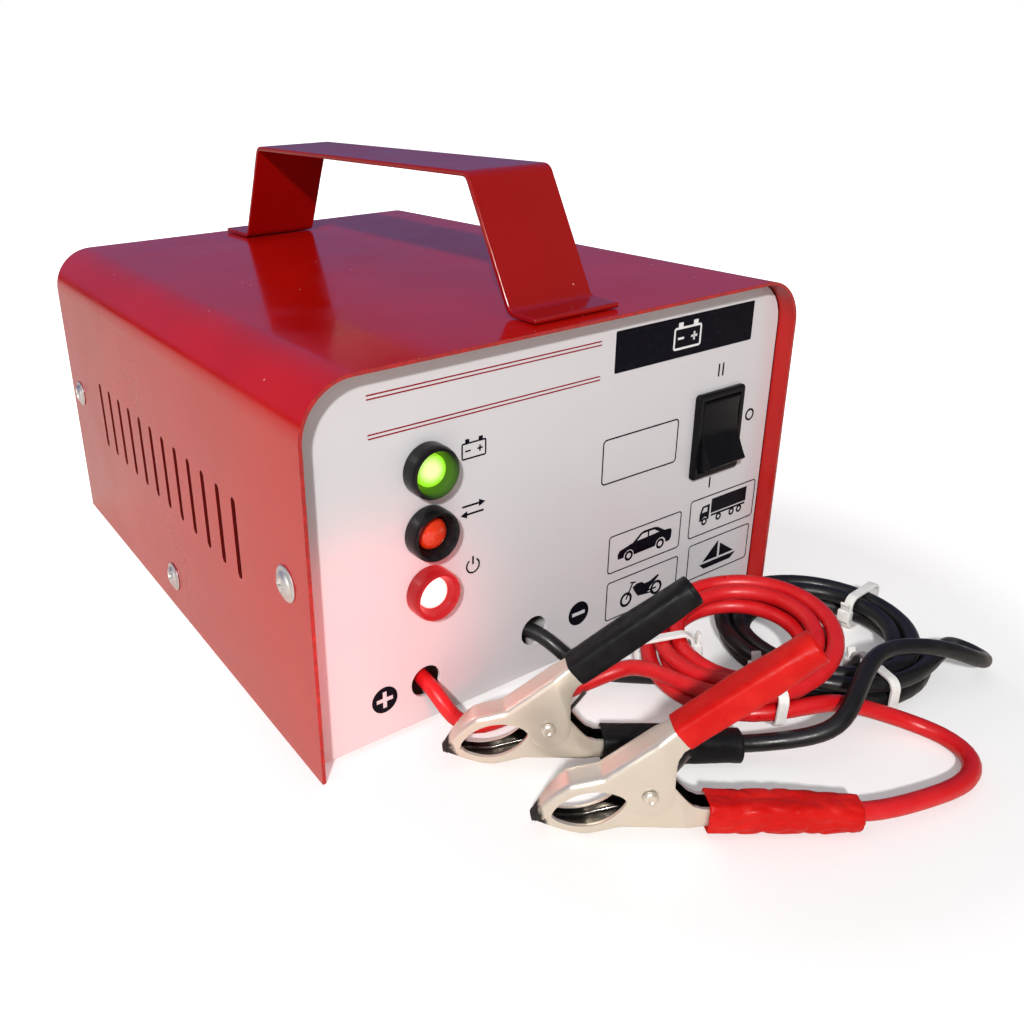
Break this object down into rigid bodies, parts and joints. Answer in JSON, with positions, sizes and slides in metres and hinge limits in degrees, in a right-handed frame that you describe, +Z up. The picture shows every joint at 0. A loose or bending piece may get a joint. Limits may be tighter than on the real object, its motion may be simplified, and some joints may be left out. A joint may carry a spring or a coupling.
{
  "type": "battery charger",
  "caption": "Battery charger in a bent steel case with a carrying strap, indicator lamps, a rocker switch, and coiled red and black leads that end in spring clips.",
  "frame": {"origin": "on the floor under the middle of the case", "axes": "+Z up, +Y from the front panel to the back panel, +X to the right of someone facing the front panel"},
  "size_m": [0.1848, 0.2938, 0.1403],
  "materials": {
    "red_paint": "glossy stoved lacquer on steel sheet",
    "white_paint": "satin white paint on steel sheet",
    "zinc": "bright zinc plate",
    "black_plastic": "moulded nylon, semi-gloss",
    "green_lens": "clear tinted lens",
    "orange_lens": "clear tinted lens",
    "red_lens": "clear tinted lens",
    "lamination": "varnished electrical steel",
    "winding_tape": "yellow polyester tape",
    "board": "paper laminate",
    "aluminium": "extruded, plain",
    "nylon": "natural nylon",
    "blue_sleeve": "shrunk sleeve",
    "glass": "clear tube",
    "red_vinyl": "soft vinyl, semi-gloss",
    "black_vinyl": "soft vinyl, semi-gloss",
    "nickel": "nickel-plated stamped steel",
    "spring_steel": "oiled spring wire"
  },
  "bodies": {
    "case": {"board": "board", "board_spacer_1": "nylon", "board_spacer_2": "nylon", "board_spacer_3": "nylon", "board_spacer_4": "nylon", "capacitor": "blue_sleeve", "chassis": "white_paint", "clip_black_lower_arm": "nickel", "clip_black_lower_sleeve": "black_vinyl", "clip_black_pin": "nickel", "clip_black_spring": "spring_steel", "clip_red_lower_arm": "nickel", "clip_red_lower_sleeve": "red_vinyl", "clip_red_pin": "nickel", "clip_red_spring": "spring_steel", "coil_black": "black_vinyl", "coil_red": "red_vinyl", "cord_grommet": "black_plastic", "cover": "red_paint", "cover_screw_left_back": "zinc", "cover_screw_left_front": "zinc", "cover_screw_left_middle": "zinc", "cover_screw_right_back": "zinc", "cover_screw_right_front": "zinc", "cover_screw_right_middle": "zinc", "fuse_holder": "black_plastic", "fuse_link": "glass", "handle": "red_paint", "heat_sink": "aluminium", "lamp_green": "green_lens", "lamp_holder_green": "black_plastic", "lamp_holder_orange": "black_plastic", "lamp_holder_red": "black_plastic", "lamp_orange": "orange_lens", "lamp_red": "red_lens", "lead_black": "black_vinyl", "lead_red": "red_vinyl", "selector_body": "black_plastic", "switch_frame": "black_plastic", "tail_black": "black_vinyl", "tail_red": "red_vinyl", "terminal_block": "black_plastic", "thyristor": "black_plastic", "tie_black_1": "nylon", "tie_black_2": "nylon", "tie_red_1": "nylon", "tie_red_2": "nylon", "transformer_core": "lamination", "transformer_screw_left": "zinc", "transformer_screw_right": "zinc", "transformer_strap": "zinc", "transformer_winding": "winding_tape"},
    "rocker": {"switch_rocker": "black_plastic"},
    "fuse_cap": {"fuse_cap": "black_plastic"},
    "slider": {"selector_slider": "red_vinyl"},
    "clip_red_upper": {"clip_red_upper_arm": "nickel", "clip_red_upper_sleeve": "red_vinyl"},
    "clip_black_upper": {"clip_black_upper_arm": "nickel", "clip_black_upper_sleeve": "black_vinyl"}
  },
  "joints": [
    {"name": "rocker_hinge", "type": "hinge", "parent": "case", "child": "rocker", "pos_m": [0.0585, -0.0945, 0.06], "axis": [1, 0, 0], "range_deg": [0, 24]},
    {"name": "fuse_cap_hinge", "type": "hinge", "parent": "case", "child": "fuse_cap", "pos_m": [0.052, 0.0955, 0.058], "axis": [0, 1, 0], "range_deg": [0, 90]},
    {"name": "selector_slide", "type": "slide", "parent": "case", "child": "slider", "axis": [1, 0, 0], "range_m": [0, 0.004]},
    {"name": "clip_red_hinge", "type": "hinge", "parent": "case", "child": "clip_red_upper", "pos_m": [-0.0298, -0.1562, 0.01345], "axis": [0.5592, 0.829, 0], "range_deg": [0, 30], "stiffness_Nm_per_rad": 0.25, "springref_deg": -22.92},
    {"name": "clip_black_hinge", "type": "hinge", "parent": "case", "child": "clip_black_upper", "pos_m": [-0.033, -0.1257, 0.01345], "axis": [0.5592, 0.829, 0], "range_deg": [0, 30], "stiffness_Nm_per_rad": 0.25, "springref_deg": -22.92}
  ]
}
